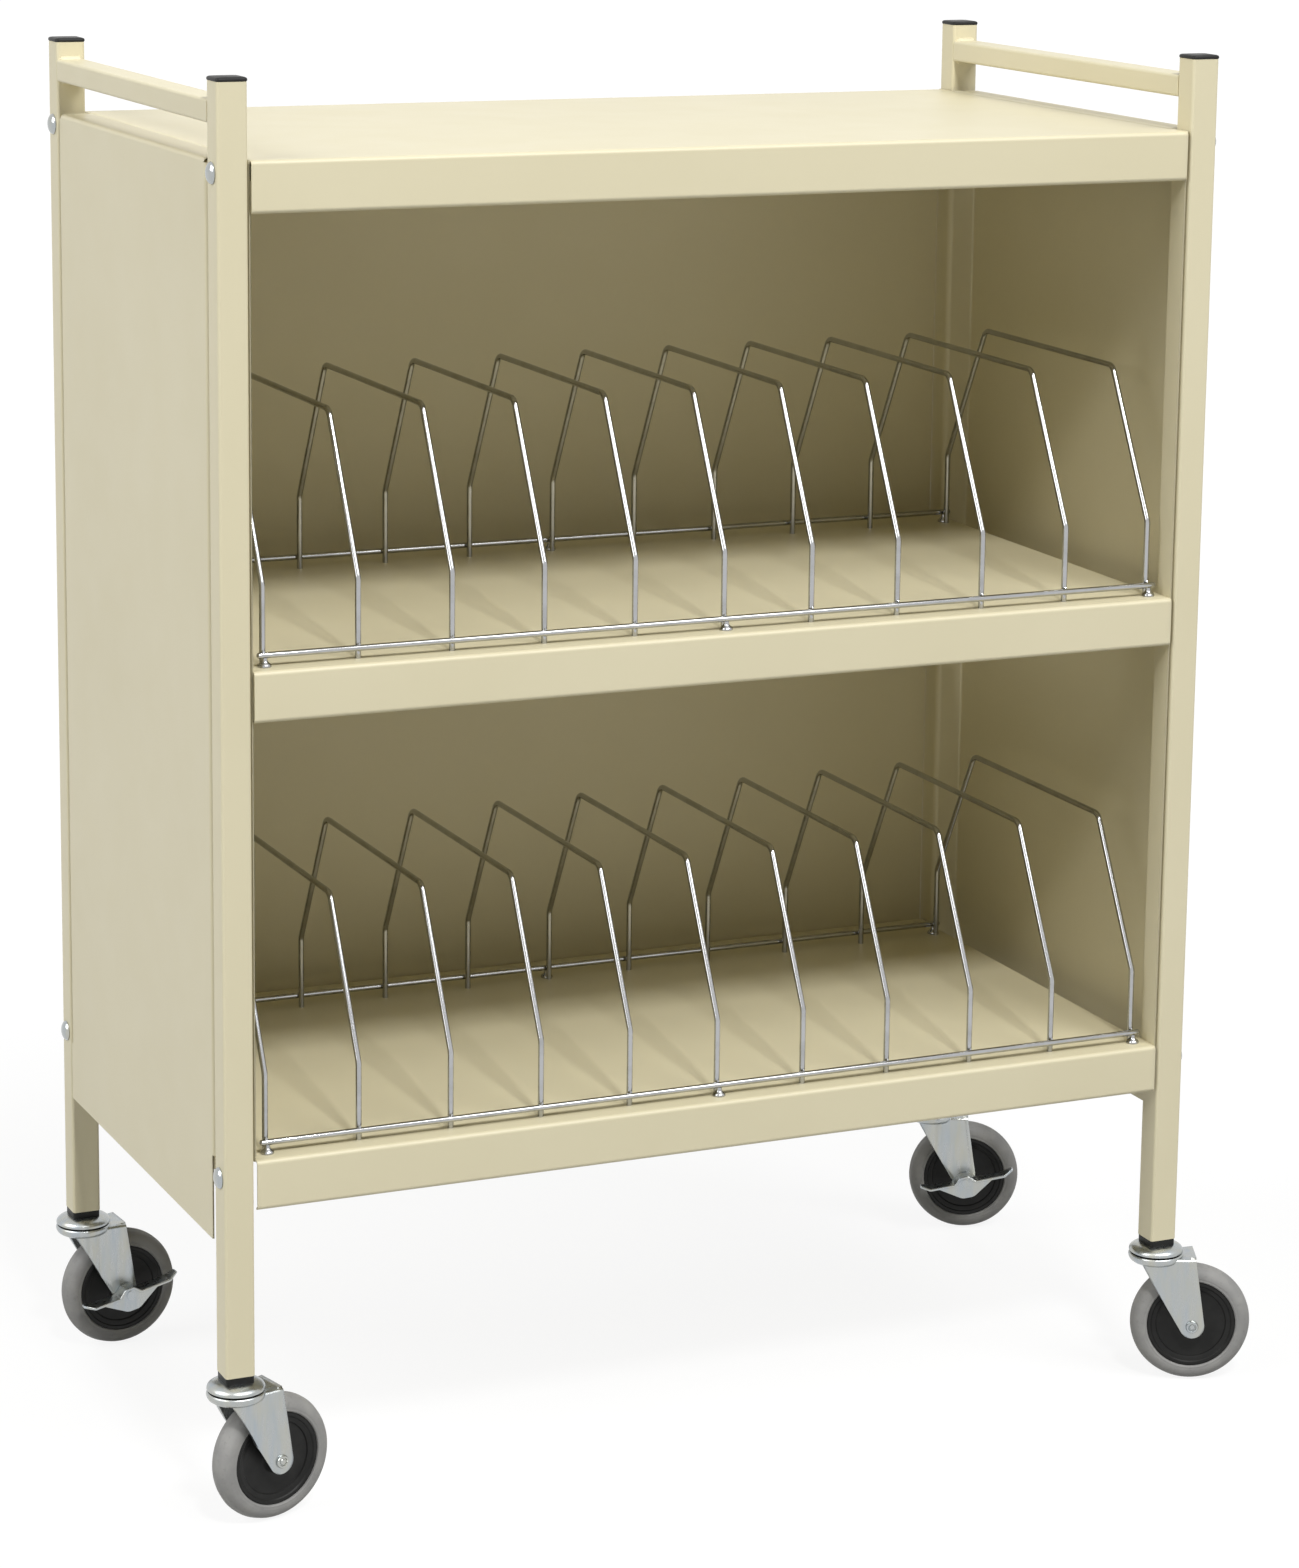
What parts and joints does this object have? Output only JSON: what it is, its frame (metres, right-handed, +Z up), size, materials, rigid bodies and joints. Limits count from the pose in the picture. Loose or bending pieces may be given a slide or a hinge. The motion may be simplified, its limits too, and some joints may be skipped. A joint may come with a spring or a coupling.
{
  "type": "medical chart rack",
  "caption": "Wheeled steel chart rack with sheet shelves, end panels, hand rails, wire divider racks that hold charts upright in slots, and swivel casters with rocker brakes.",
  "frame": {"origin": "on the floor, under the middle of the outline of the whole rack with its casters as they stand", "axes": "+Z up, +X along the shelves to the right as seen from the open front, +Y from the open front to the back panel"},
  "size_m": [0.9258, 0.4766, 1.1315],
  "materials": {
    "cream_enamel": "satin cream powder coat",
    "black_plastic": "matte moulded plastic",
    "chrome_wire": "bright plated wire",
    "zinc_steel": "bright zinc plate on pressed steel",
    "grey_rubber": "non-marking grey rubber"
  },
  "bodies": {
    "frame": {"post_front_left": "cream_enamel", "post_cap_front_left": "black_plastic", "post_rear_left": "cream_enamel", "post_cap_rear_left": "black_plastic", "hand_rail_left": "cream_enamel", "end_panel_left": "cream_enamel", "post_front_right": "cream_enamel", "post_cap_front_right": "black_plastic", "post_rear_right": "cream_enamel", "post_cap_rear_right": "black_plastic", "hand_rail_right": "cream_enamel", "end_panel_right": "cream_enamel", "shelf_bottom": "cream_enamel", "shelf_middle": "cream_enamel", "shelf_top": "cream_enamel", "back_panel": "cream_enamel", "divider_upper_1": "chrome_wire", "divider_upper_2": "chrome_wire", "divider_upper_3": "chrome_wire", "divider_upper_4": "chrome_wire", "divider_upper_5": "chrome_wire", "divider_upper_6": "chrome_wire", "divider_upper_7": "chrome_wire", "divider_upper_8": "chrome_wire", "divider_upper_9": "chrome_wire", "divider_upper_10": "chrome_wire", "divider_upper_11": "chrome_wire", "rack_rail_upper_front": "chrome_wire", "rack_rail_upper_rear": "chrome_wire", "divider_lower_1": "chrome_wire", "divider_lower_2": "chrome_wire", "divider_lower_3": "chrome_wire", "divider_lower_4": "chrome_wire", "divider_lower_5": "chrome_wire", "divider_lower_6": "chrome_wire", "divider_lower_7": "chrome_wire", "divider_lower_8": "chrome_wire", "divider_lower_9": "chrome_wire", "divider_lower_10": "chrome_wire", "divider_lower_11": "chrome_wire", "rack_rail_lower_front": "chrome_wire", "rack_rail_lower_rear": "chrome_wire", "caster_stem_front_left": "zinc_steel", "caster_stem_front_right": "zinc_steel", "caster_stem_rear_left": "zinc_steel", "caster_stem_rear_right": "zinc_steel"},
    "fork_front_left": {"caster_fork_front_left": "zinc_steel"},
    "wheel_front_left": {"wheel_hub_front_left": "black_plastic", "tyre_front_left": "grey_rubber"},
    "fork_front_right": {"caster_fork_front_right": "zinc_steel"},
    "wheel_front_right": {"wheel_hub_front_right": "black_plastic", "tyre_front_right": "grey_rubber"},
    "fork_rear_left": {"caster_fork_rear_left": "zinc_steel"},
    "wheel_rear_left": {"wheel_hub_rear_left": "black_plastic", "tyre_rear_left": "grey_rubber"},
    "pedal_rear_left": {"brake_pedal_rear_left": "zinc_steel"},
    "fork_rear_right": {"caster_fork_rear_right": "zinc_steel"},
    "wheel_rear_right": {"wheel_hub_rear_right": "black_plastic", "tyre_rear_right": "grey_rubber"},
    "pedal_rear_right": {"brake_pedal_rear_right": "zinc_steel"}
  },
  "joints": [
    {"name": "swivel_front_left", "type": "hinge", "parent": "frame", "child": "fork_front_left", "pos_m": [-0.43941, -0.19743, 0.112], "axis": [0, 0, 1], "continuous": true},
    {"name": "roll_front_left", "type": "hinge", "parent": "fork_front_left", "child": "wheel_front_left", "pos_m": [-0.40933, -0.18993, 0.051], "axis": [-0.2419, 0.9703, 0], "continuous": true},
    {"name": "swivel_front_right", "type": "hinge", "parent": "frame", "child": "fork_front_right", "pos_m": [0.38659, -0.19743, 0.112], "axis": [0, 0, 1], "continuous": true},
    {"name": "roll_front_right", "type": "hinge", "parent": "fork_front_right", "child": "wheel_front_right", "pos_m": [0.41491, -0.21004, 0.051], "axis": [0.4067, 0.9135, 0], "continuous": true},
    {"name": "swivel_rear_left", "type": "hinge", "parent": "frame", "child": "fork_rear_left", "pos_m": [-0.43941, 0.21457, 0.112], "axis": [0, 0, 1], "continuous": true},
    {"name": "roll_rear_left", "type": "hinge", "parent": "fork_rear_left", "child": "wheel_rear_left", "pos_m": [-0.40852, 0.21727, 0.051], "axis": [-0.0872, 0.9962, 0], "continuous": true},
    {"name": "brake_rear_left", "type": "hinge", "parent": "fork_rear_left", "child": "pedal_rear_left", "pos_m": [-0.40852, 0.21727, 0.051], "axis": [-0.0872, 0.9962, 0], "range_deg": [0, 24]},
    {"name": "swivel_rear_right", "type": "hinge", "parent": "frame", "child": "fork_rear_right", "pos_m": [0.38659, 0.21457, 0.112], "axis": [0, 0, 1], "continuous": true},
    {"name": "roll_rear_right", "type": "hinge", "parent": "fork_rear_right", "child": "wheel_rear_right", "pos_m": [0.41491, 0.20196, 0.051], "axis": [0.4067, 0.9135, 0], "continuous": true},
    {"name": "brake_rear_right", "type": "hinge", "parent": "fork_rear_right", "child": "pedal_rear_right", "pos_m": [0.41491, 0.20196, 0.051], "axis": [0.4067, 0.9135, 0], "range_deg": [0, 24]}
  ]
}
